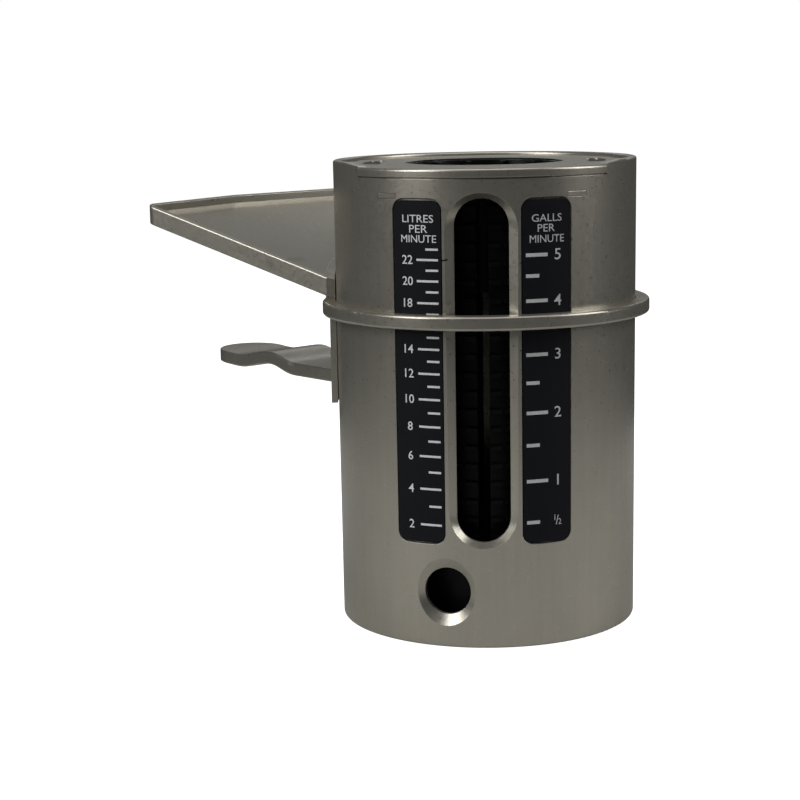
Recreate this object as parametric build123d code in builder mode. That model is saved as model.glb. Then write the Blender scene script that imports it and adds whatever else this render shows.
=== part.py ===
from build123d import *

import os
from math import cos, radians, sin

os.makedirs("parts", exist_ok=True)

# Water-flow weir gauge: a tapered casing round a slotted inner cup, with a handle that turns on it.
# The origin is the centre of the base, +Z is up and the reading window faces -Y. Millimetres.

# Casing
height = 137.9
top_radius = 45.0
base_radius = 44.43
wall = 3.2
seat_z = 133.9            # the lid rests here, on a ledge inside the rim
seat_radius = 42.3        # bore of the rim above the ledge
rim_rounding = 0.7
lip_half_angle = 51.6     # the rim is cut down to the ledge over this angle each side of the front
rim_drop = 0.9            # how far the rim falls towards the cut
rim_ramp = 9.0            # over this length

# Reading window: an obround with a sloped border
window_width = 15.3
window_low_z = 30.7
window_high_z = 128.5
border_side = 2.65        # width of the sloped border at the sides, seen square on
border_end = 1.7          # and at the two ends
border_depth = 1.6        # how far the border sinks below the casing's surface at the sides
border_sink = 2.8         # depth at which the slope meets the window's straight edge
border_proud = 0.6        # how far outside the casing the slope is carried on

# Scale panels
scale_azimuth = 24.0      # from the front, to each side
scale_width = 14.7
scale_low_z = 30.5
scale_high_z = 128.1
scale_corner = 2.7
pocket_depth = 0.8
pocket_flare = -20.0      # slope of the pocket's edge, in degrees
pocket_narrowing = 0.40   # at its root, so that its flare meets the panel's foot
scale_inset = 0.15
scale_gap = 0.08
scale_length = scale_high_z - scale_low_z
panel_blank = 4.0         # depth of the block that a panel or a pocket is cut from
panel_overrun = 1.0       # how far that block passes the panel's two faces

# Port near the base
port_azimuth = -14.4
port_z = 16.2
port_radius = 6.85
port_rim_radius = 10.0
port_rim_depth = 2.0
port_proud = 1.0          # how far outside the casing the rim's slope is carried on

# Snap joints between lid and casing
snap_azimuths = (-36.5, 36.5, 143.5, -143.5)
snap_z = 129.1
snap_width = 6.6
snap_height = 1.6
snap_gap = 0.07
tab_half_angle = 11.0
tab_low_z = 126.0
tab_outer_radius = 41.2
tab_wall = 1.6
tongue_radius = 44.8

# Lid
lid_radius = 42.0
lid_thickness = 2.9
lip_radius = 45.3
lip_gap_angle = 0.3
inlet_radius = 23.0
lug_slot_radius = 33.6
lug_slot_width = 5.0
lug_slot_angle = 30.0
lip_groove_height = 0.45  # a shadow groove under the lip
lip_groove_depth = 1.0
notch_azimuths = (-106, 106)
notch_half_angle = 4.0
notch_depth = 2.0
lid_edge = 0.8

# Weir cup
cup_radius = 34.0
cup_wall = 2.0
cup_base_z = 8.0
cup_floor = 2.0
flange_radius = 36.6
flange_bore = 31.0
flange_thickness = 2.0
lug_gap = 0.2
lug_height = 2.5
sill_z = 16.7
slot_width = 3.4
slot_high_z = 128.0
rung_azimuths = (-13.1, -5.9, 5.9, 13.1)
rung_half_angle = 2.9
rung_height = 1.2
rung_depth = 1.4
rung_pitch = 5.28
rung_count = 20
rungs_high_z = 125.8
fin_azimuths = (30, 150, 210, 330)
fin_thickness = 2.0
fin_height = 12.0
fin_reach = 41.0

# Inlet tube and the spreader in its foot
tube_radius = 22.9
tube_wall = 1.5
tube_low_z = 100.0
tube_high_z = 136.3
tube_flange_radius = 30.8
rib_count = 12
rib_depth = 2.5
rib_thickness = 1.2
rib_root = 0.5            # how far a rib's root is sunk into the tube's wall
rib_low_z = 104.0
rib_high_z = 136.0
spreader_gap = 0.1
spreader_thickness = 1.6
spreader_ring_width = 1.5
spreader_disc_radius = 8.5
spreader_arm_width = 2.0

# Handle: it lies along handle_azimuth, counter-clockwise from +X
handle_azimuth = 135.0
running_gap = 0.15        # between the handle and the casing, all round
ring_radius = 49.0
ring_low_z = 92.1
ring_high_z = 96.2
ring_rounding = 0.8
hub_half_angle = 52.3
skirt_radius = 46.9
skirt_low_z = 65.1
hub_wall_radius = 48.0

# Splash guard: a shallow tray that rises away from the casing, with upright walls
guard_slope = 19.0
guard_root_reach = 29.2
guard_root_z = 103.2
guard_root_half_width = 37.8
guard_return_reach = 26.5        # its sides turn in towards the casing at the root
guard_return_half_width = 35.1
guard_corner_reach = 89.8
guard_corner_half_width = 61.2
guard_front_reach = 92.5
guard_front_half_width = 25.0
guard_corner_radius = 2.5
guard_bend_radius = 60.0  # where the front edge turns towards the corners
guard_depth = 5.3         # square to the tray
guard_rim = 1.5
tray_depth = 2.2
guard_foot = 1.0
guard_rounding = 0.4

# Finger grip: a flat tongue with one hump across it
grip_half_width = 11.75
grip_low_z = 65.1
grip_thickness = 4.3
grip_straight_end = 79.0
grip_crest = (91.5, 2.45)
grip_trough = (104.0, 0.6)
grip_round_centre = 116.5
grip_rounding = 0.5

far = 200.0               # longer than anything that is cut


def casing_radius(z):
    """Outer radius of the tapered casing at height z."""
    return base_radius + (top_radius - base_radius) * z / height


def outward(azimuth, reach, z):
    """Plane square to the radius at an azimuth measured from the front, with its x axis level."""
    a = radians(azimuth)
    return Plane(
        origin=(reach * sin(a), -reach * cos(a), z),
        x_dir=(cos(a), sin(a), 0),
        z_dir=(sin(a), -cos(a), 0),
    )


def wedge(azimuth, half_angle):
    """Corners of a triangle from the axis that spans half_angle each side of an azimuth from the front."""
    edges = [radians(azimuth - half_angle), radians(azimuth + half_angle)]
    return [(0, 0)] + [(far * sin(a), -far * cos(a)) for a in edges]


def casing_shell(low_z, high_z, outer_inset, inner_inset):
    """Section of a shell that follows the casing's taper, the given insets inside its surface."""
    return [
        (casing_radius(low_z) - inner_inset, low_z),
        (casing_radius(low_z) - outer_inset, low_z),
        (casing_radius(high_z) - outer_inset, high_z),
        (casing_radius(high_z) - inner_inset, high_z),
    ]


def scale_panel(azimuth, width, length, outer_inset, inner_inset, flare):
    """Rounded rectangle wrapped on the casing."""
    with BuildPart() as panel:
        with BuildSketch(Plane.XZ):
            with BuildLine():
                Polyline(*casing_shell(0, height, outer_inset, inner_inset), close=True)
            make_face()
        revolve(axis=Axis.Z)
        root = casing_radius(scale_low_z) - inner_inset - panel_overrun
        with BuildSketch(outward(azimuth, root, (scale_low_z + scale_high_z) / 2)):
            RectangleRounded(width, length, scale_corner)
        extrude(amount=panel_blank, taper=flare, mode=Mode.INTERSECT)
    return panel.part


def scale_pocket(azimuth):
    """What is cut from the casing to take a scale panel."""
    width = scale_width - pocket_narrowing
    length = scale_length - pocket_narrowing
    return scale_panel(azimuth, width, length, -panel_overrun, pocket_depth, pocket_flare)


# ---------------------------------------------------------------- casing
window_length = window_high_z - window_low_z
window_z = (window_high_z + window_low_z) / 2

# The border is a slope from the window's edge, inside the wall, to a larger obround outside it
border_root = top_radius - border_sink
border_mouth = top_radius + border_proud
border_run = border_mouth - border_root
side_growth = border_side / border_depth * border_run
end_growth = border_end / (top_radius - border_root) * border_run

with BuildPart() as window_cut:
    with BuildSketch(Plane.XZ.offset(border_root)):
        with Locations((0, window_z)):
            SlotOverall(window_length, window_width, rotation=90)
    with BuildSketch(Plane.XZ.offset(border_mouth)):
        with Locations((0, window_z)):
            SlotOverall(window_length + 2 * end_growth, window_width + 2 * side_growth, rotation=90)
    loft(ruled=True)
    with BuildSketch(Plane.XZ.offset(border_root)):
        with Locations((0, window_z)):
            SlotOverall(window_length, window_width, rotation=90)
    extrude(amount=-wall)

port_slope = (port_rim_radius - port_radius) / port_rim_depth
port_surface = casing_radius(port_z)
with BuildPart() as port_cut:
    with BuildSketch(outward(port_azimuth, port_surface - port_rim_depth, port_z)):
        Circle(port_radius)
    with BuildSketch(outward(port_azimuth, port_surface + port_proud, port_z)):
        Circle(port_rim_radius + port_slope * port_proud)
    loft(ruled=True)
    with BuildSketch(outward(port_azimuth, port_surface - port_rim_depth, port_z)):
        Circle(port_radius)
    extrude(amount=-wall)

left_pocket = scale_pocket(-scale_azimuth)
right_pocket = scale_pocket(scale_azimuth)

with BuildPart() as outer_casing:
    with BuildSketch(Plane.XZ):
        with BuildLine():
            Polyline(
                (base_radius - wall, 0),
                (base_radius, 0),
                (top_radius, height),
                (seat_radius, height),
                (seat_radius, seat_z),
                (casing_radius(seat_z) - wall, seat_z),
                close=True,
            )
        make_face()
    revolve(axis=Axis.Z)
    fillet(outer_casing.edges().group_by(Axis.Z)[-1], rim_rounding)
    fillet(outer_casing.edges().group_by(Axis.Z)[0], rim_rounding)
    with BuildSketch(Plane.XY.offset(seat_z)):
        Polygon(*wedge(0, lip_half_angle), align=None)
    extrude(amount=height, mode=Mode.SUBTRACT)
    for side in (-1, 1):
        with BuildSketch(outward(side * lip_half_angle, top_radius - 2 * wall, height)):
            Polygon((0, -rim_drop), (side * rim_ramp, 0), (0, wall), align=None)
        extrude(amount=3 * wall, mode=Mode.SUBTRACT)
    add(window_cut.part, mode=Mode.SUBTRACT)
    add(port_cut.part, mode=Mode.SUBTRACT)
    add(left_pocket, mode=Mode.SUBTRACT)
    add(right_pocket, mode=Mode.SUBTRACT)
    for azimuth in snap_azimuths:
        with BuildSketch(outward(azimuth, top_radius - 2 * wall, snap_z)):
            Rectangle(snap_width, snap_height)
        extrude(amount=3 * wall, mode=Mode.SUBTRACT)
outer_casing.part.label = "outer_casing"
export_step(outer_casing.part, "parts/outer_casing.step")

# ---------------------------------------------------------------- scale panels
for name, side in (("litres_scale", -1), ("gallons_scale", 1)):
    panel = scale_panel(
        side * scale_azimuth,
        scale_width - 2 * scale_gap,
        scale_length - 2 * scale_gap,
        scale_inset,
        pocket_depth,
        0,
    )
    panel.label = name
    export_step(panel, f"parts/{name}.step")

# ---------------------------------------------------------------- lid
with BuildPart() as inlet_lid:
    with BuildSketch(Plane.XY.offset(seat_z)):
        Circle(lip_radius)
        Polygon(*wedge(0, lip_half_angle - lip_gap_angle), align=None, mode=Mode.INTERSECT)
        Circle(lid_radius)
        Circle(inlet_radius, mode=Mode.SUBTRACT)
    extrude(amount=lid_thickness)
    fillet(inlet_lid.edges().group_by(Axis.Z)[-1], lid_edge)
    with BuildSketch(Plane.XY.offset(seat_z)):
        Circle(lip_radius)
        Circle(lip_radius - lip_groove_depth, mode=Mode.SUBTRACT)
    extrude(amount=lip_groove_height, mode=Mode.SUBTRACT)
    for azimuth in notch_azimuths:
        with BuildSketch(Plane.XY.offset(seat_z)):
            Circle(lid_radius)
            Circle(lid_radius - notch_depth, mode=Mode.SUBTRACT)
            Polygon(*wedge(azimuth, notch_half_angle), align=None, mode=Mode.INTERSECT)
        extrude(amount=lid_thickness, mode=Mode.SUBTRACT)
    for side in (0, 180):
        with BuildSketch(Plane.XY.offset(seat_z)):
            SlotArc(
                CenterArc((0, 0), lug_slot_radius, side - lug_slot_angle / 2, lug_slot_angle),
                lug_slot_width,
            )
        extrude(amount=lid_thickness, mode=Mode.SUBTRACT)
    for azimuth in snap_azimuths:
        with BuildSketch(Plane.XY.offset(tab_low_z)):
            Circle(tab_outer_radius)
            Circle(tab_outer_radius - tab_wall, mode=Mode.SUBTRACT)
            Polygon(*wedge(azimuth, tab_half_angle), align=None, mode=Mode.INTERSECT)
        extrude(amount=seat_z - tab_low_z)
        tongue_root = tab_outer_radius - tab_wall
        with BuildSketch(outward(azimuth, tongue_root, snap_z)):
            Rectangle(snap_width - 2 * snap_gap, snap_height - 2 * snap_gap)
        extrude(amount=tongue_radius - tongue_root)
inlet_lid.part.label = "inlet_lid"
export_step(inlet_lid.part, "parts/inlet_lid.step")

# ---------------------------------------------------------------- weir cup
with BuildPart() as weir_cup:
    with BuildSketch(Plane.XY.offset(cup_base_z)):
        Circle(cup_radius)
    extrude(amount=seat_z - cup_base_z)
    # columns of rungs stand out of the wall each side of the two slots
    rungs_low_z = rungs_high_z - (rung_count - 1) * rung_pitch - rung_height
    for azimuth in rung_azimuths:
        for facing in (0, 180):
            with BuildSketch(Plane.XY.offset(rungs_low_z)):
                Circle(cup_radius + rung_depth)
                Polygon(*wedge(azimuth + facing, rung_half_angle), align=None, mode=Mode.INTERSECT)
            extrude(amount=rungs_high_z - rungs_low_z)
    with BuildSketch(Plane.XZ):
        with Locations((cup_radius + rung_depth, (rungs_low_z + rungs_high_z) / 2)):
            with GridLocations(0, rung_pitch, 1, rung_count - 1):
                Rectangle(2 * rung_depth, rung_pitch - rung_height)
    revolve(axis=Axis.Z, mode=Mode.SUBTRACT)
    # the rim is a flange that meets the underside of the lid
    with BuildSketch(Plane.XY.offset(seat_z - flange_thickness)):
        Circle(flange_radius)
    extrude(amount=flange_thickness)
    with BuildSketch(Plane.XY.offset(cup_base_z + cup_floor)):
        Circle(cup_radius - cup_wall)
    extrude(amount=seat_z - flange_thickness - cup_base_z - cup_floor, mode=Mode.SUBTRACT)
    with BuildSketch(Plane.XY.offset(seat_z - flange_thickness)):
        Circle(flange_bore)
    extrude(amount=flange_thickness, mode=Mode.SUBTRACT)
    # two upright slots, front and back, let the water out over the sill
    with BuildSketch(Plane.XZ):
        with Locations((0, (sill_z + slot_high_z) / 2)):
            Rectangle(slot_width, slot_high_z - sill_z)
    extrude(amount=2 * cup_radius, both=True, mode=Mode.SUBTRACT)
    # fins centre the cup's foot in the casing
    for azimuth in fin_azimuths:
        with BuildSketch(outward(azimuth, cup_radius - cup_wall / 2, cup_base_z + fin_height / 2)):
            Rectangle(fin_thickness, fin_height)
        extrude(amount=fin_reach - cup_radius + cup_wall / 2)
    # lugs of the flange key into the lid
    for side in (0, 180):
        with BuildSketch(Plane.XY.offset(seat_z)):
            SlotArc(
                CenterArc((0, 0), lug_slot_radius, side - lug_slot_angle / 2, lug_slot_angle),
                lug_slot_width - 2 * lug_gap,
            )
        extrude(amount=lug_height)
weir_cup.part.label = "weir_cup"
export_step(weir_cup.part, "parts/weir_cup.step")

# ---------------------------------------------------------------- inlet tube
with BuildPart() as inlet_tube:
    with BuildSketch(Plane.XY.offset(tube_low_z)):
        Circle(tube_radius)
    extrude(amount=tube_high_z - tube_low_z)
    with BuildSketch(Plane.XY.offset(seat_z - flange_thickness)):
        Circle(tube_flange_radius)
    extrude(amount=flange_thickness)
    with BuildSketch(Plane.XY.offset(tube_low_z)):
        Circle(tube_radius - tube_wall)
    extrude(amount=tube_high_z - tube_low_z, mode=Mode.SUBTRACT)
    # upright ribs on the wall keep the incoming water from swirling
    rib_radius = tube_radius - tube_wall - rib_depth / 2
    with BuildSketch(Plane.XY.offset(rib_low_z)):
        with PolarLocations(rib_radius + rib_root / 2, rib_count, start_angle=180 / rib_count):
            Rectangle(rib_depth + rib_root, rib_thickness)
    extrude(amount=rib_high_z - rib_low_z)
inlet_tube.part.label = "inlet_tube"
export_step(inlet_tube.part, "parts/inlet_tube.step")

# ---------------------------------------------------------------- jet spreader
with BuildPart() as jet_spreader:
    spreader_radius = tube_radius - tube_wall - spreader_gap
    with BuildSketch(Plane.XY.offset(tube_low_z)):
        Circle(spreader_radius)
        Circle(spreader_radius - spreader_ring_width, mode=Mode.SUBTRACT)
        Circle(spreader_disc_radius)
        for turn in (0, 90):
            Rectangle(2 * spreader_radius - spreader_ring_width, spreader_arm_width, rotation=turn)
    extrude(amount=spreader_thickness)
jet_spreader.part.label = "jet_spreader"
export_step(jet_spreader.part, "parts/jet_spreader.step")

# ---------------------------------------------------------------- handle ring
with BuildPart() as handle_ring:
    with BuildSketch(Plane.XY.offset(ring_low_z)):
        Circle(ring_radius)
        Circle(casing_radius(ring_high_z) + running_gap, mode=Mode.SUBTRACT)
    extrude(amount=ring_high_z - ring_low_z)
    fillet(handle_ring.edges().filter_by(GeomType.CIRCLE).sort_by(SortBy.RADIUS)[-2:], ring_rounding)
handle_ring.part.label = "handle_ring"
export_step(handle_ring.part, "parts/handle_ring.step")

# Handle frame: x runs out along the handle, y across it
out = radians(handle_azimuth)
handle_plane = Plane(origin=(0, 0, 0), x_dir=(cos(out), sin(out), 0), z_dir=(0, 0, 1))
handle_side = Plane(origin=(0, 0, 0), x_dir=(cos(out), sin(out), 0), z_dir=(sin(out), -cos(out), 0))
hub_wedge = [(0, 0)] + [
    (far * cos(radians(side * hub_half_angle)), far * sin(radians(side * hub_half_angle)))
    for side in (-1, 1)
]

# ---------------------------------------------------------------- handle skirt, below the ring
with BuildPart() as handle_skirt:
    with BuildSketch(handle_plane.offset(skirt_low_z)):
        Circle(skirt_radius)
        Circle(casing_radius(ring_low_z) + running_gap, mode=Mode.SUBTRACT)
        Polygon(*hub_wedge, align=None, mode=Mode.INTERSECT)
    extrude(amount=ring_low_z - skirt_low_z)
handle_skirt.part.label = "handle_skirt"
export_step(handle_skirt.part, "parts/handle_skirt.step")

# ---------------------------------------------------------------- splash guard
rise = radians(guard_slope)
guard_plane = Plane(
    origin=(guard_root_reach * cos(out), guard_root_reach * sin(out), guard_root_z),
    x_dir=(cos(out) * cos(rise), sin(out) * cos(rise), sin(rise)),
    z_dir=(-cos(out) * sin(rise), -sin(out) * sin(rise), cos(rise)),
)
guard_side = [
    (guard_return_reach, guard_return_half_width),
    (guard_root_reach, guard_root_half_width),
    (guard_corner_reach, guard_corner_half_width),
    (guard_front_reach, guard_front_half_width),
]
guard_outline = [(reach, -across) for reach, across in guard_side] + guard_side[::-1]


def guard_hollow(top, depth):
    """Room inside the guard's rim, from top down by depth, measured square to the tray."""
    with BuildPart() as hollow:
        with BuildSketch(handle_plane):
            Polygon(*guard_outline, align=None)
            offset(amount=-guard_rim, kind=Kind.INTERSECTION)
            Circle(hub_wall_radius, mode=Mode.SUBTRACT)
        extrude(amount=far)
        split(bisect_by=guard_plane.offset(top), keep=Keep.BOTTOM)
        split(bisect_by=guard_plane.offset(top - depth), keep=Keep.TOP)
    return hollow.part


upper_hollow = guard_hollow(guard_foot, guard_foot + tray_depth)
lower_hollow = guard_hollow(guard_foot - guard_depth, 2 * guard_foot)

with BuildPart() as splash_guard:
    with BuildSketch(handle_plane) as guard_sketch:
        Polygon(*guard_outline, align=None)
        fillet(
            [guard_sketch.vertices().sort_by_distance(corner)[0] for corner in guard_outline[2:6:3]],
            guard_corner_radius,
        )
        fillet(
            [guard_sketch.vertices().sort_by_distance(bend)[0] for bend in guard_outline[3:5]],
            guard_bend_radius,
        )
    extrude(amount=far)
    split(bisect_by=guard_plane, keep=Keep.BOTTOM)
    split(bisect_by=guard_plane.offset(-guard_depth), keep=Keep.TOP)
    # soften the rim's outer edge, except for the three edges at the root
    rim_edges = splash_guard.faces().sort_by(Axis(guard_plane.origin, guard_plane.z_dir))[-1].edges()
    fillet(rim_edges.sort_by(Axis(handle_plane.origin, handle_plane.x_dir))[3:], guard_rounding)
    add(upper_hollow, mode=Mode.SUBTRACT)
    add(lower_hollow, mode=Mode.SUBTRACT)
    with BuildSketch(Plane.XY):
        Circle(casing_radius(height) + running_gap)
    extrude(amount=far, mode=Mode.SUBTRACT)
splash_guard.part.label = "splash_guard"
export_step(splash_guard.part, "parts/splash_guard.step")

# ---------------------------------------------------------------- guard wall, between ring and tray
with BuildPart() as guard_wall:
    with BuildSketch(handle_plane.offset(ring_high_z)):
        Circle(hub_wall_radius)
        Circle(casing_radius(height) + running_gap, mode=Mode.SUBTRACT)
        Polygon(*hub_wedge, align=None, mode=Mode.INTERSECT)
    extrude(amount=height - ring_high_z)
    split(bisect_by=guard_plane.offset(-guard_depth), keep=Keep.BOTTOM)
guard_wall.part.label = "guard_wall"
export_step(guard_wall.part, "parts/guard_wall.step")

# ---------------------------------------------------------------- finger grip
grip_tip = grip_round_centre + grip_half_width
grip_root = top_radius - wall
with BuildPart() as finger_grip:
    with BuildSketch(handle_side.offset(-grip_half_width)):
        with BuildLine():
            for level in (grip_low_z, grip_low_z + grip_thickness):
                Line((grip_root, level), (grip_straight_end, level))
                Spline(
                    (grip_straight_end, level),
                    (grip_crest[0], level + grip_crest[1]),
                    (grip_trough[0], level + grip_trough[1]),
                    (grip_tip, level + grip_trough[1]),
                    tangents=((1, 0), (1, 0)),
                )
            for reach, lift in ((grip_root, 0), (grip_tip, grip_trough[1])):
                Line((reach, grip_low_z + lift), (reach, grip_low_z + lift + grip_thickness))
        make_face()
    extrude(amount=2 * grip_half_width)
    with BuildSketch(handle_plane):
        with Locations((grip_round_centre / 2, 0)):
            Rectangle(grip_round_centre, 2 * grip_half_width)
        with Locations((grip_round_centre, 0)):
            Circle(grip_half_width)
        Circle(skirt_radius, mode=Mode.SUBTRACT)
    extrude(amount=height, mode=Mode.INTERSECT)
    # round the outline above and below, but not the root, the uprights or the lines across
    outline = finger_grip.edges() - finger_grip.edges().filter_by(GeomType.CIRCLE)
    outline -= outline.filter_by(Axis.Z)
    outline -= outline.filter_by(Axis((0, 0, 0), handle_plane.y_dir))
    fillet(outline, grip_rounding)
finger_grip.part.label = "finger_grip"
export_step(finger_grip.part, "parts/finger_grip.step")
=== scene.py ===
import math

import bmesh
import bpy
from mathutils import Matrix, Vector


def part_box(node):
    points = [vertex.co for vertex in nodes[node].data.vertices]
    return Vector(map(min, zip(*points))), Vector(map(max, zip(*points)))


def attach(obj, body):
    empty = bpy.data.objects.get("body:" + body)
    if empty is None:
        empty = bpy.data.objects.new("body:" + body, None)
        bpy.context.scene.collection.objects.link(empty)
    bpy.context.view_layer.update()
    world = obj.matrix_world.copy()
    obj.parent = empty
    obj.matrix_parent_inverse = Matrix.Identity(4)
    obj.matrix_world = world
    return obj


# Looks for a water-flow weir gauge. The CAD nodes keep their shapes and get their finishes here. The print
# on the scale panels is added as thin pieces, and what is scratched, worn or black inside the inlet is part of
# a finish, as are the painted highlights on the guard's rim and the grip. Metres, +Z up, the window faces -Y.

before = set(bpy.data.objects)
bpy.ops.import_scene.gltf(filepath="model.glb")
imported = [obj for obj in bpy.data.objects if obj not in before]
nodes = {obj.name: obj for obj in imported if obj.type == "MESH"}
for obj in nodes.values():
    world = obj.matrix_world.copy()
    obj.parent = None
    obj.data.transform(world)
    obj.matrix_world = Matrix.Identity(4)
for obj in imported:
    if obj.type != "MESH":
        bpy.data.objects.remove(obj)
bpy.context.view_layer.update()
MM = 0.001

# ------------------------------------------------------------------ places from the frame, and the part's sizes
casing_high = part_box("outer_casing")[1]
HEIGHT = casing_high.z
TOP_RADIUS = casing_high.x
TAPER = 0.57 * MM / HEIGHT              # how much the radius shrinks for each metre down
PANEL_INSET = 0.15 * MM                 # a scale panel's face lies this far inside the casing's surface
GUARD_SLOPE = math.tan(math.radians(19))
GUARD_TOP_AT_AXIS = 93.15 * MM          # height at which the plane of the guard's rim would meet the axis


def casing_radius(z):
    """Outer radius of the tapered casing at height z."""
    return TOP_RADIUS - TAPER * (HEIGHT - z)


def on_casing(azimuth, z, lift):
    """Point at an azimuth in degrees from the front, lifted off the casing's surface."""
    a = math.radians(azimuth)
    r = casing_radius(z) + lift
    return Vector((r * math.sin(a), -r * math.cos(a), z))


def level(litres):
    """Height of the water at a flow in litres a minute: the sill, and a power of the flow above it."""
    return (16.29 + 11.60 * litres ** 0.681) * MM


# ------------------------------------------------------------------ node helpers
def new_material(name):
    material = bpy.data.materials.new(name)
    material.use_nodes = True
    tree = material.node_tree
    return material, tree, tree.nodes["Principled BSDF"]


def add(tree, kind, **values):
    """Adds a node. A keyword that starts with in_ sets or links a socket, any other sets a property."""
    made = tree.nodes.new(kind)
    for key, value in values.items():
        if key.startswith("in_"):
            label = key[3:]
            socket = made.inputs[int(label)] if label.isdigit() else made.inputs[label.replace("_", " ")]
            if isinstance(value, bpy.types.NodeSocket):
                tree.links.new(value, socket)
            else:
                socket.default_value = value
        else:
            setattr(made, key, value)
    return made


def math_node(tree, operation, first, second=0.0):
    return add(tree, "ShaderNodeMath", operation=operation, in_0=first, in_1=second).outputs[0]


def product(tree, first, *others):
    for other in others:
        first = math_node(tree, "MULTIPLY", first, other)
    return first


def object_point(tree, scale=(1, 1, 1)):
    """The object's own coordinates, stretched."""
    where = add(tree, "ShaderNodeTexCoord").outputs["Object"]
    return add(tree, "ShaderNodeMapping", in_Vector=where, in_Scale=scale).outputs["Vector"]


def object_xyz(tree):
    apart = add(tree, "ShaderNodeSeparateXYZ", in_Vector=object_point(tree)).outputs
    return apart["X"], apart["Y"], apart["Z"]


def along_handle(tree):
    """Reach along the handle, distance across it and height, from the casing's axis, at rest."""
    x, y, z = object_xyz(tree)
    reach = math_node(tree, "MULTIPLY", math_node(tree, "SUBTRACT", y, x), math.sqrt(0.5))
    across = math_node(tree, "MULTIPLY", math_node(tree, "ADD", x, y), -math.sqrt(0.5))
    return reach, across, z


def noise(tree, point, scale, detail):
    made = add(tree, "ShaderNodeTexNoise", in_Vector=point, in_Scale=scale, in_Detail=detail,
               in_Roughness=0.55)
    return made.outputs["Fac"]


def ramp(tree, value, low, high, out_low=0.0, out_high=1.0):
    """Straight ramp of a value from low to high, held outside them."""
    made = add(tree, "ShaderNodeMapRange", in_Value=value, in_1=low, in_2=high, in_3=out_low, in_4=out_high)
    return made.outputs["Result"]


def band(tree, value, middle, half_width, soft):
    """1 within half_width of middle, falling to 0 over soft."""
    off = math_node(tree, "ABSOLUTE", math_node(tree, "SUBTRACT", value, middle))
    return ramp(tree, off, half_width, half_width + soft, 1.0, 0.0)


def mix_colour(tree, amount, first, second):
    made = tree.nodes.new("ShaderNodeMix")
    made.data_type = "RGBA"
    sockets = (made.inputs["Factor"], made.inputs[6], made.inputs[7])
    for socket, value in zip(sockets, (amount, first, second)):
        if isinstance(value, bpy.types.NodeSocket):
            tree.links.new(value, socket)
        else:
            socket.default_value = value
    return made.outputs[2]


def edges(tree, radius):
    """How far the surface turns within a radius: 0 on open faces, rising at the edges."""
    rounded = add(tree, "ShaderNodeBevel", samples=6, in_Radius=radius).outputs["Normal"]
    flat = add(tree, "ShaderNodeNewGeometry").outputs["Normal"]
    turn = add(tree, "ShaderNodeVectorMath", operation="DOT_PRODUCT", in_0=rounded, in_1=flat)
    return math_node(tree, "SUBTRACT", 1.0, turn.outputs["Value"])


def bump(tree, height, strength, distance, normal=None):
    made = add(tree, "ShaderNodeBump", in_Strength=strength, in_Distance=distance, in_Height=height)
    if normal:
        tree.links.new(normal, made.inputs["Normal"])
    return made.outputs["Normal"]


# ------------------------------------------------------------------ finishes
PAINT_PALE = (0.500, 0.474, 0.408, 1)
PAINT_DEEP = (0.420, 0.396, 0.338, 1)
# the next pale is for rubbed edges, and also for the painted highlights on the guard's rim and the grip
PAINT_WORN_AND_HIGHLIGHT = (0.780, 0.765, 0.690, 1)
SCRATCH_BLACK = (0.012, 0.012, 0.013, 1)
LINE_BROWN = (0.16, 0.15, 0.13, 1)
SCUFF_BROWN = (0.20, 0.19, 0.16, 1)
INLET_BLACK = (0.004, 0.004, 0.005, 1)
PANEL_BLACK = (0.0075, 0.0080, 0.0105, 1)
PANEL_DUST = (0.030, 0.031, 0.036, 1)
CUP_DEEP = (0.0030, 0.0030, 0.0036, 1)
CUP_PALE = (0.0060, 0.0060, 0.0075, 1)


def champagne_paint(name, streaks, wear, marks=None, soft_edge=0.30):
    """Satin metallic paint on moulded plastic: fine flake, faint upright streaks, pale rubbed edges.

    streaks and wear say how strong the streaks and the rubbed edges are, marks adds more to the colour, and
    soft_edge is the radius in millimetres that the edges seem to have.
    """
    material, tree, shader = new_material(name)
    point = object_point(tree)
    flake = noise(tree, point, 5200.0, 1.0)
    grain = noise(tree, point, 900.0, 3.0)
    cloud = noise(tree, point, 38.0, 2.0)
    upright = noise(tree, object_point(tree, (1.0, 1.0, 0.04)), 520.0, 3.0)
    # colour: broad clouds, upright streaks, then single flakes
    tone = product(tree, ramp(tree, cloud, 0.30, 0.70), 0.35)
    tone = math_node(tree, "ADD", tone, product(tree, ramp(tree, upright, 0.25, 0.75), 0.40 * streaks))
    tone = math_node(tree, "ADD", tone, product(tree, ramp(tree, flake, 0.35, 0.65), 0.30))
    colour = mix_colour(tree, tone, PAINT_DEEP, PAINT_PALE)
    # edges rubbed pale in patches
    edge = edges(tree, 0.35 * MM)
    patchy = ramp(tree, noise(tree, point, 240.0, 4.0), 0.60 - 0.25 * wear, 0.78 - 0.25 * wear)
    rubbed = product(tree, ramp(tree, edge, 0.06, 0.22), patchy, 0.35 + 0.65 * wear)
    colour = mix_colour(tree, rubbed, colour, PAINT_WORN_AND_HIGHLIGHT)
    if marks:
        colour = marks(tree, colour)
    tree.links.new(colour, shader.inputs["Base Color"])
    shader.inputs["Metallic"].default_value = 0.80
    shader.inputs["Specular IOR Level"].default_value = 0.45
    rough = ramp(tree, grain, 0.30, 0.70, 0.27, 0.35)
    tree.links.new(rough, shader.inputs["Roughness"])
    rounded = add(tree, "ShaderNodeBevel", samples=6, in_Radius=soft_edge * MM).outputs["Normal"]
    skin = bump(tree, grain, 0.10, 0.02 * MM, rounded)
    tree.links.new(bump(tree, flake, 0.05, 0.005 * MM, skin), shader.inputs["Normal"])
    return material


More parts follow.
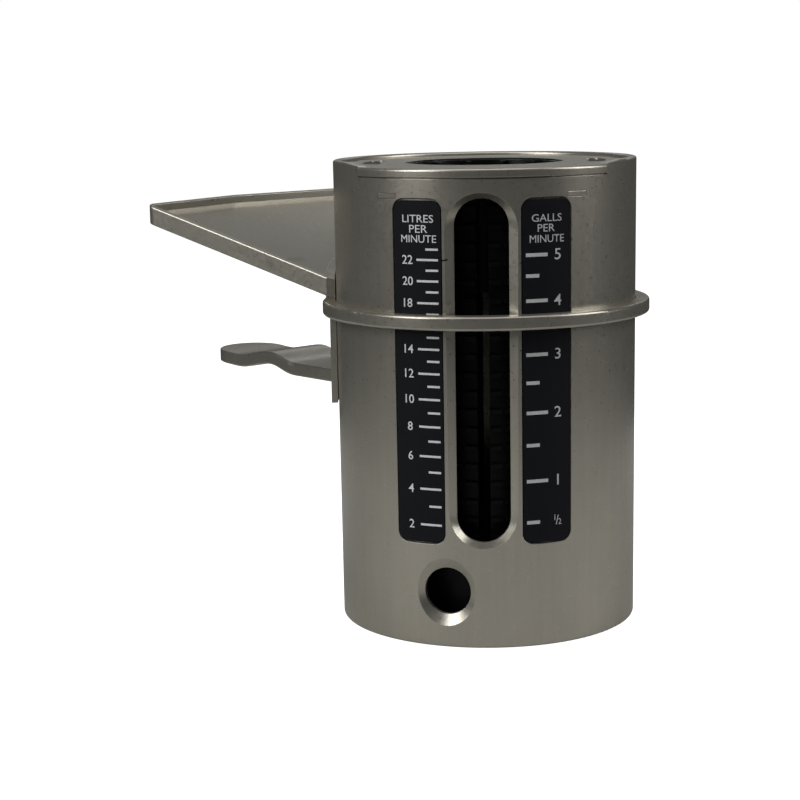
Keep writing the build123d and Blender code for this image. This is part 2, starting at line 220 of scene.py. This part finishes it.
def casing_marks(tree, colour):
    """Hair-thin parting line, from the rim down past the right-hand snap, and a dark scratch."""
    line_x = 19.6 * MM              # the parting line comes down here
    line_low = 127.4 * MM           # to this height,
    branch_z = 128.5 * MM           # and a branch of it runs to the right here
    branch_end = 25.5 * MM
    scratch_x = -10.35 * MM         # the scratch is beside the 22 mark, and rises to the right
    scratch_half_length = 0.80 * MM
    scratch_pivot = 10.4 * MM
    scratch_slope = 0.14
    x, y, z = object_xyz(tree)
    front = ramp(tree, y, -20 * MM, -19 * MM, 1.0, 0.0)
    upright = product(tree, band(tree, x, line_x, 0.05 * MM, 0.07 * MM),
                      ramp(tree, z, line_low, line_low + 0.5 * MM))
    branch = product(tree, band(tree, z, branch_z, 0.04 * MM, 0.06 * MM),
                     ramp(tree, x, line_x, line_x + 0.2 * MM),
                     ramp(tree, x, branch_end - 1 * MM, branch_end, 1.0, 0.0))
    line = product(tree, math_node(tree, "MAXIMUM", upright, branch), front)
    colour = mix_colour(tree, product(tree, line, 0.40), colour, LINE_BROWN)
    rise = product(tree, math_node(tree, "ADD", x, scratch_pivot), scratch_slope)
    scratch = band(tree, math_node(tree, "SUBTRACT", z, rise), level(22), 0.20 * MM, 0.10 * MM)
    length = band(tree, x, scratch_x, scratch_half_length, 0.25 * MM)
    return mix_colour(tree, product(tree, scratch, length, front, 0.9), colour, SCRATCH_BLACK)


def rim_wear(tree, colour):
    """A painted highlight along the upward-facing top of the near rim, broken in gaps, and a dark scuff on the
    guard's near wall.
    """
    highlight_end = 79 * MM              # the painted highlight stops short of the guard's corner
    scuff_reach = 47.5 * MM
    scuff_below_top = 2.6 * MM
    reach, across, z = along_handle(tree)
    near = ramp(tree, across, 30 * MM, 33 * MM)
    normal = add(tree, "ShaderNodeNewGeometry").outputs["Normal"]
    facing = add(tree, "ShaderNodeSeparateXYZ", in_Vector=normal).outputs["Z"]
    upward = ramp(tree, facing, 0.50, 0.80)
    rim_top = math_node(tree, "ADD", product(tree, reach, GUARD_SLOPE), GUARD_TOP_AT_AXIS)
    over_rim = math_node(tree, "SUBTRACT", z, rim_top)
    on_top = ramp(tree, over_rim, -0.75 * MM, -0.55 * MM)
    reached = ramp(tree, reach, highlight_end - 2 * MM, highlight_end, 1.0, 0.0)
    gaps = ramp(tree, noise(tree, object_point(tree), 310.0, 2.0), 0.40, 0.50)
    # the pale paint on the near rim's upward-facing top is a painted highlight, broken in gaps
    rim_highlight = product(tree, near, upward, on_top, reached, gaps, 0.3)
    colour = mix_colour(tree, rim_highlight, colour, PAINT_WORN_AND_HIGHLIGHT)
    scuff = product(tree, band(tree, reach, scuff_reach, 0.5 * MM, 1.4 * MM),
                    band(tree, over_rim, -scuff_below_top, 0.4 * MM, 1.2 * MM), near, 0.35)
    return mix_colour(tree, scuff, colour, SCUFF_BROWN)


def hump_wear(tree, colour):
    """A painted highlight: a bright spot on the near edge of the grip, at the casing side of its hump."""
    highlight_reach = 81.0 * MM
    highlight_z = 69.3 * MM
    near_edge = 11.6 * MM
    reach, across, z = along_handle(tree)
    highlight_mask = product(tree, band(tree, reach, highlight_reach, 0.7 * MM, 1.3 * MM),
                   ramp(tree, across, near_edge - 0.4 * MM, near_edge),
                   band(tree, z, highlight_z, 0.5 * MM, 0.8 * MM), 0.75)
    return mix_colour(tree, highlight_mask, colour, PAINT_WORN_AND_HIGHLIGHT)


def inlet_mask(tree, colour):
    """Black on the lid within a radius of 23.5 mm, from part of the way down the inlet's rounded edge."""
    black_radius = 23.5 * MM
    x, y = object_xyz(tree)[:2]
    flat = add(tree, "ShaderNodeCombineXYZ", in_X=x, in_Y=y).outputs["Vector"]
    radius = add(tree, "ShaderNodeVectorMath", operation="LENGTH", in_0=flat).outputs["Value"]
    blackened = ramp(tree, radius, black_radius - 0.1 * MM, black_radius, 1.0, 0.0)
    return mix_colour(tree, blackened, colour, INLET_BLACK)


def panel_black(name):
    """Satin black panel with a faint orange peel."""
    material, tree, shader = new_material(name)
    point = object_point(tree)
    peel = noise(tree, point, 700.0, 2.0)
    dust = ramp(tree, noise(tree, point, 2600.0, 2.0), 0.66, 0.74)
    colour = mix_colour(tree, product(tree, dust, 0.25), PANEL_BLACK, PANEL_DUST)
    tree.links.new(colour, shader.inputs["Base Color"])
    shader.inputs["Specular IOR Level"].default_value = 0.12
    tree.links.new(ramp(tree, peel, 0.30, 0.70, 0.46, 0.58), shader.inputs["Roughness"])
    tree.links.new(bump(tree, peel, 0.08, 0.02 * MM), shader.inputs["Normal"])
    return material


def cup_black(name, rough, shine):
    """Black moulding with faint flow marks. rough is the roughness where it is glossiest."""
    material, tree, shader = new_material(name)
    flow = noise(tree, object_point(tree, (1.0, 1.0, 0.3)), 180.0, 3.0)
    colour = mix_colour(tree, ramp(tree, flow, 0.35, 0.70), CUP_DEEP, CUP_PALE)
    tree.links.new(colour, shader.inputs["Base Color"])
    shader.inputs["Specular IOR Level"].default_value = shine
    tree.links.new(ramp(tree, flow, 0.30, 0.70, rough, rough + 0.10), shader.inputs["Roughness"])
    rounded = add(tree, "ShaderNodeBevel", samples=4, in_Radius=0.20 * MM).outputs["Normal"]
    tree.links.new(bump(tree, flow, 0.06, 0.03 * MM, rounded), shader.inputs["Normal"])
    return material


def printed_ink(name, pale, thin):
    """Screen-printed ink, with the small thin spots that the mesh of the screen leaves."""
    material, tree, shader = new_material(name)
    point = object_point(tree)
    spots = ramp(tree, noise(tree, point, 3800.0, 3.0), 0.34, 0.52)
    tree.links.new(mix_colour(tree, spots, thin, pale), shader.inputs["Base Color"])
    shader.inputs["Specular IOR Level"].default_value = 0.30
    tree.links.new(ramp(tree, spots, 0.0, 1.0, 0.62, 0.50), shader.inputs["Roughness"])
    return material


def dress(node, material):
    data = nodes[node].data
    data.materials.clear()
    data.materials.append(material)


dress("outer_casing", champagne_paint("casing_paint", 1.0, 0.15, casing_marks, 0.14))
dress("inlet_lid", champagne_paint("lid_paint", 0.3, 0.10, inlet_mask))
dress("handle_ring", champagne_paint("ring_paint", 0.4, 0.20))
dress("handle_skirt", champagne_paint("skirt_paint", 0.8, 0.10))
dress("guard_wall", champagne_paint("wall_paint", 0.5, 0.10))
dress("splash_guard", champagne_paint("guard_paint", 0.2, 0.10, rim_wear))
dress("finger_grip", champagne_paint("grip_paint", 0.3, 0.25, hump_wear))
dress("litres_scale", panel_black("litres_panel"))
dress("gallons_scale", panel_black("gallons_panel"))
dress("weir_cup", cup_black("weir_cup_black", 0.34, 0.14))
dress("inlet_tube", cup_black("inlet_tube_black", 0.20, 0.50))
dress("jet_spreader", cup_black("jet_spreader_black", 0.20, 0.50))

# ------------------------------------------------------------------ printing on the scale panels
LITRES_INK = printed_ink("litres_ink_finish", (0.80, 0.81, 0.83, 1), (0.58, 0.59, 0.61, 1))
GALLONS_INK = printed_ink("gallons_ink_finish", (0.60, 0.605, 0.61, 1), (0.42, 0.425, 0.43, 1))
INK_THICKNESS = 0.03 * MM
BAR_STEPS = 8
LITRES_PER_GALLON = 4.546


def wrapped(name, flat_meshes, material):
    """One object from flat meshes: x is degrees of azimuth, y is height, z is lift off the scale panels."""
    made = bmesh.new()
    for mesh in flat_meshes:
        made.from_mesh(mesh)
        bpy.data.meshes.remove(mesh)
    for vert in made.verts:
        azimuth, z, lift = vert.co
        vert.co = on_casing(azimuth, z, lift - PANEL_INSET)
    bmesh.ops.remove_doubles(made, verts=made.verts, dist=1e-7)
    bmesh.ops.recalc_face_normals(made, faces=made.faces)
    data = bpy.data.meshes.new(name)
    made.to_mesh(data)
    made.free()
    data.materials.append(material)
    piece = bpy.data.objects.new(name, data)
    bpy.context.scene.collection.objects.link(piece)
    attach(piece, "gauge")


def bar(azimuth_a, azimuth_b, z, thickness):
    """A closed printed bar between two azimuths."""
    made = bmesh.new()
    low = z - thickness / 2
    high = z + thickness / 2
    corners = ((low, 0), (high, 0), (high, INK_THICKNESS), (low, INK_THICKNESS))
    rows = []
    for step in range(BAR_STEPS + 1):
        azimuth = azimuth_a + (azimuth_b - azimuth_a) * step / BAR_STEPS
        rows.append([made.verts.new((azimuth, height, lift)) for height, lift in corners])
    for near, far in zip(rows, rows[1:]):
        for side in range(4):
            made.faces.new((near[side], near[side - 1], far[side - 1], far[side]))
    made.faces.new(rows[0])
    made.faces.new(list(reversed(rows[-1])))
    data = bpy.data.meshes.new("bar")
    made.to_mesh(data)
    made.free()
    return data


def lettering(text, azimuth, middle_z, height, width=None, weight=0.0, squeeze=0.88):
    """Raised lettering, centred on an azimuth. A width in degrees overrides the squeeze."""
    curve = bpy.data.curves.new("lettering", "FONT")
    curve.body = text
    curve.size = 1.0
    curve.offset = weight
    curve.extrude = 0.01
    curve.resolution_u = 3
    holder = bpy.data.objects.new("lettering", curve)
    bpy.context.scene.collection.objects.link(holder)
    bpy.context.view_layer.update()
    data = bpy.data.meshes.new_from_object(holder.evaluated_get(bpy.context.evaluated_depsgraph_get()))
    bpy.data.objects.remove(holder)
    bpy.data.curves.remove(curve)
    xs = [v.co.x for v in data.vertices]
    ys = [v.co.y for v in data.vertices]
    zs = [v.co.z for v in data.vertices]
    grow = height / (max(ys) - min(ys))
    degrees = math.degrees(1 / casing_radius(middle_z))
    stretch = grow * degrees * squeeze if width is None else width / (max(xs) - min(xs))
    middle_x = (max(xs) + min(xs)) / 2
    middle_y = (max(ys) + min(ys)) / 2
    for v in data.vertices:
        lift = (v.co.z - min(zs)) / (max(zs) - min(zs)) * INK_THICKNESS
        v.co = (azimuth + (v.co.x - middle_x) * stretch, middle_z + (v.co.y - middle_y) * grow, lift)
    return data


# litres: a tick for every litre, longer at the even ones, which are numbered
LITRES_TICK_FROM = -15.7                # azimuths in degrees from the front
LITRES_TICK_TO = -20.5
LITRES_LONG_TICK_TO = -24.05
LITRES_TICK_THICKNESS = 0.62 * MM
LITRES_NUMBER_AZIMUTH = -27.8
LITRES_NUMBER_HEIGHT = 2.5 * MM
LITRES_SHIFT = {2: 0.8 * MM, 3: 0.25 * MM}      # the lowest marks are printed a little above their levels
litres_marks = []
litres_numbers = []
for litres in range(2, 24):
    even = litres % 2 == 0
    z = level(litres) + LITRES_SHIFT.get(litres, 0)
    tick_to = LITRES_LONG_TICK_TO if even else LITRES_TICK_TO
    litres_marks.append(bar(tick_to, LITRES_TICK_FROM, z, LITRES_TICK_THICKNESS))
    if even:
        litres_numbers.append(lettering(str(litres), LITRES_NUMBER_AZIMUTH, z, LITRES_NUMBER_HEIGHT,
                                        weight=0.006, squeeze=1.02))
wrapped("litres_ticks", litres_marks, LITRES_INK)
wrapped("litres_numbers", litres_numbers, LITRES_INK)

# gallons: a tick for every half gallon, longer at the whole ones; these and the lowest half are numbered
GALLONS_TICK_FROM = 15.95
GALLONS_TICK_TO = 20.95
GALLONS_LONG_TICK_TO = 24.2
GALLONS_TICK_THICKNESS = 1.00 * MM
GALLONS_NUMBER_AZIMUTH = 28.2
GALLONS_NUMBER_HEIGHT = 3.1 * MM
GALLONS_DROP = 0.4 * MM                 # this whole scale is printed below its levels
GALLONS_SHIFT = {1: 0.3 * MM, 8: 0.3 * MM, 9: 0.3 * MM, 10: -0.6 * MM}     # and some marks differ, by halves
HALF_SIGNS = (("1", 26.9, 0.9, 1.7), ("/", 27.9, 0.2, 2.7), ("2", 29.0, -0.35, 1.7))


def halves_level(halves):
    return level(halves / 2 * LITRES_PER_GALLON) - GALLONS_DROP + GALLONS_SHIFT.get(halves, 0)


gallons_marks = []
gallons_numbers = []
for halves in range(1, 11):
    whole = halves % 2 == 0
    z = halves_level(halves)
    tick_to = GALLONS_LONG_TICK_TO if whole else GALLONS_TICK_TO
    gallons_marks.append(bar(GALLONS_TICK_FROM, tick_to, z, GALLONS_TICK_THICKNESS))
    if whole:
        gallons_numbers.append(lettering(str(halves // 2), GALLONS_NUMBER_AZIMUTH, z, GALLONS_NUMBER_HEIGHT,
                                         weight=0.004, squeeze=1.1))
for sign, azimuth, lift, height in HALF_SIGNS:
    gallons_numbers.append(lettering(sign, azimuth, halves_level(1) + lift * MM, height * MM))
wrapped("gallons_ticks", gallons_marks, GALLONS_INK)
wrapped("gallons_numbers", gallons_numbers, GALLONS_INK)


def legend(name, lines, ink):
    """Unit legend. Each line is a text, its azimuth, its middle's height, its cap height and its width."""
    meshes = []
    for text, azimuth, middle_z, cap, width in lines:
        meshes.append(lettering(text, azimuth, middle_z * MM, cap * MM, width))
    wrapped(name, meshes, ink)


# azimuths and widths in degrees, heights in millimetres
legend("litres_legend", (
    ("LITRES", -23.45, 122.97, 2.15, 12.3),
    ("PER", -23.2, 120.12, 2.15, 7.2),
    ("MINUTE", -23.25, 117.35, 2.1, 13.9),
), LITRES_INK)
legend("gallons_legend", (
    ("GALLS", 24.0, 122.85, 2.1, 11.6),
    ("PER", 23.7, 120.05, 2.1, 6.6),
    ("MINUTE", 24.05, 117.05, 2.1, 13.3),
), GALLONS_INK)

# ------------------------------------------------------------------ stage, lights and camera
FLOOR_RADIUS = 40.0
BOUNCE_RADIUS = 0.34
CASING_BORE = 41 * MM
AIM_Z = 0.07
LENS = 87.29
SENSOR_WIDTH = 36.0
CAMERA_PLACE = (0.0132, -0.5811, 0.1630)
CAMERA_TURNS = (("Z", 3.886), ("X", 80.436), ("Z", -0.959))


def stage_disc(name, radius, z, material):
    made = bmesh.new()
    bmesh.ops.create_circle(made, cap_ends=True, segments=96, radius=radius)
    data = bpy.data.meshes.new(name)
    made.to_mesh(data)
    made.free()
    data.materials.append(material)
    disc = bpy.data.objects.new(name, data)
    disc.location.z = z
    bpy.context.scene.collection.objects.link(disc)
    return disc


def stage_material(name, colour, glow):
    """Matt, faintly clouded surface that gives off some light of its own."""
    material, tree, shader = new_material(name)
    point = add(tree, "ShaderNodeTexCoord").outputs["Object"]
    tone = ramp(tree, noise(tree, point, 6.0, 2.0), 0.3, 0.7)
    soft = tuple(c * 0.985 for c in colour[:3]) + (1,)
    tree.links.new(mix_colour(tree, tone, soft, colour), shader.inputs["Base Color"])
    shader.inputs["Roughness"].default_value = 0.9
    shader.inputs["Specular IOR Level"].default_value = 0.1
    shader.inputs["Emission Color"].default_value = (1, 1, 1, 1)
    shader.inputs["Emission Strength"].default_value = glow
    return material


# the camera sees the wide pale floor, and a smaller grey disc stands in for the light a table gives back
floor = stage_disc("floor", FLOOR_RADIUS, -0.2 * MM, stage_material("floor_white", (0.9, 0.9, 0.9, 1), 1.0))
table = stage_disc("table_bounce", BOUNCE_RADIUS, -0.3 * MM,
                   stage_material("table_grey", (0.54, 0.54, 0.53, 1), 0.0))
for flag in ("visible_diffuse", "visible_glossy", "visible_transmission", "visible_shadow"):
    setattr(floor, flag, False)
table.visible_camera = False
# a dark disc on the floor inside the casing is a painted shadow, and shows dark through the port
stage_disc("painted_shadow_in_casing", CASING_BORE, -0.1 * MM,
           stage_material("painted_shadow_black", (0.02, 0.02, 0.02, 1), 0.0))

# the world is white to the camera, and dim to everything else
world = bpy.data.worlds.new("studio")
bpy.context.scene.world = world
world.use_nodes = True
sky = world.node_tree
sky.nodes.clear()
dim = add(sky, "ShaderNodeBackground", in_Color=(0.95, 0.97, 1.0, 1), in_Strength=0.022)
white = add(sky, "ShaderNodeBackground", in_Color=(1, 1, 1, 1), in_Strength=1.0)
seen = add(sky, "ShaderNodeLightPath").outputs["Is Camera Ray"]
blend = add(sky, "ShaderNodeMixShader", in_0=seen, in_1=dim.outputs[0], in_2=white.outputs[0])
add(sky, "ShaderNodeOutputWorld", in_Surface=blend.outputs[0])


def softbox(name, azimuth, distance, z, width, tall, watts):
    """White area light at an azimuth from the front, facing the casing's axis. The camera doesn't see it."""
    a = math.radians(azimuth)
    data = bpy.data.lights.new(name, "AREA")
    data.shape = "RECTANGLE"
    data.size = width
    data.size_y = tall
    data.energy = watts
    lamp = bpy.data.objects.new(name, data)
    lamp.location = (distance * math.sin(a), -distance * math.cos(a), z)
    away = lamp.location - Vector((0, 0, AIM_Z))
    lamp.rotation_euler = away.to_track_quat("Z", "Y").to_euler()
    bpy.context.scene.collection.objects.link(lamp)
    lamp.visible_camera = False


softbox("softbox_left", azimuth=-53, distance=0.9, z=0.60, width=0.46, tall=0.80, watts=5.8)
softbox("softbox_right", azimuth=82, distance=0.9, z=0.60, width=0.50, tall=0.80, watts=4.7)
softbox("overhead", azimuth=0, distance=0.15, z=1.0, width=0.9, tall=0.9, watts=3.0)
softbox("softbox_back", azimuth=178, distance=1.1, z=0.58, width=1.0, tall=0.36, watts=0.72)

camera_data = bpy.data.cameras.new("camera")
camera_data.lens = LENS
camera_data.sensor_width = SENSOR_WIDTH
camera = bpy.data.objects.new("camera", camera_data)
view = Matrix.Translation(CAMERA_PLACE)
for axis, degrees in CAMERA_TURNS:
    view = view @ Matrix.Rotation(math.radians(degrees), 4, axis)
camera.matrix_world = view
bpy.context.scene.collection.objects.link(camera)
bpy.context.scene.camera = camera
bpy.context.scene.view_settings.view_transform = "Standard"
